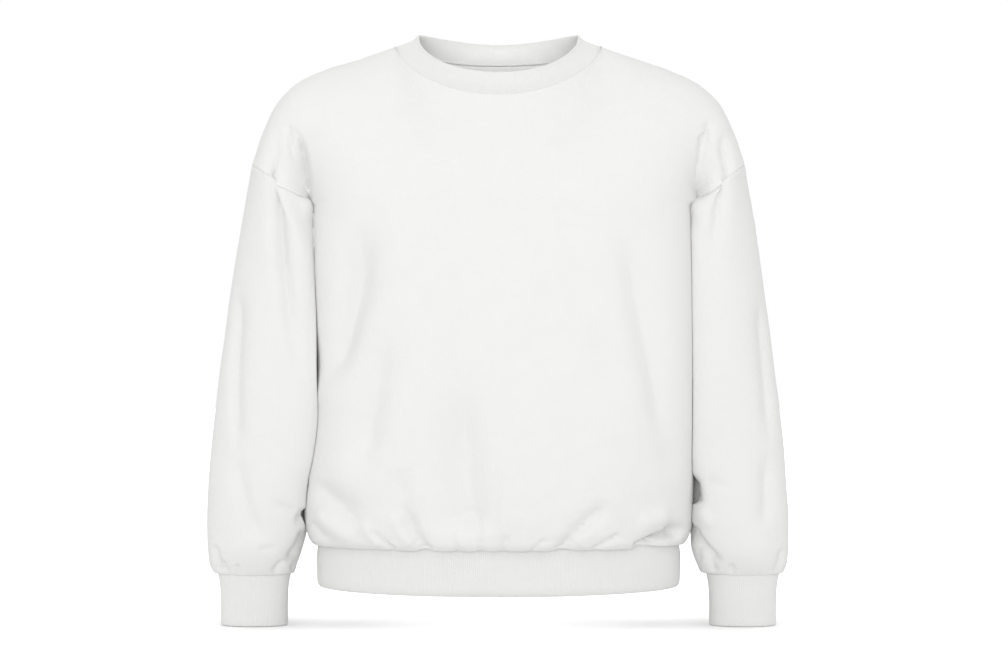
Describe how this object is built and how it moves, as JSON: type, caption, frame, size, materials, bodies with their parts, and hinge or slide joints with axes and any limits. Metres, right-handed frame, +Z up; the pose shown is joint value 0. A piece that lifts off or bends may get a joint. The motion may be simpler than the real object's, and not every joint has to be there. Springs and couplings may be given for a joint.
{
  "type": "crewneck sweatshirt",
  "caption": "Loose long-sleeved crewneck sweatshirt in fleece, filled out as if worn, with dropped shoulders, full sleeves and ribbed neckband, cuffs and hem.",
  "frame": {"origin": "middle of the neck opening, at the height of the neck's side points, where the wearer's neck and shoulders hold the garment up", "axes": "+X to the wearer's left, +Y to the back, +Z up; the front faces -Y"},
  "size_m": [0.6952, 0.2532, 0.705],
  "materials": {
    "fleece": "matt white brushed fleece, smooth knit face",
    "rib_knit": "matt white fine rib knit"
  },
  "bodies": {
    "root": {"front_panel": "fleece", "back_panel": "fleece", "sleeve_left": "fleece", "sleeve_right": "fleece", "neck_rib": "rib_knit", "cuff_left": "rib_knit", "cuff_right": "rib_knit", "hem_rib": "rib_knit"}
  },
  "joints": []
}
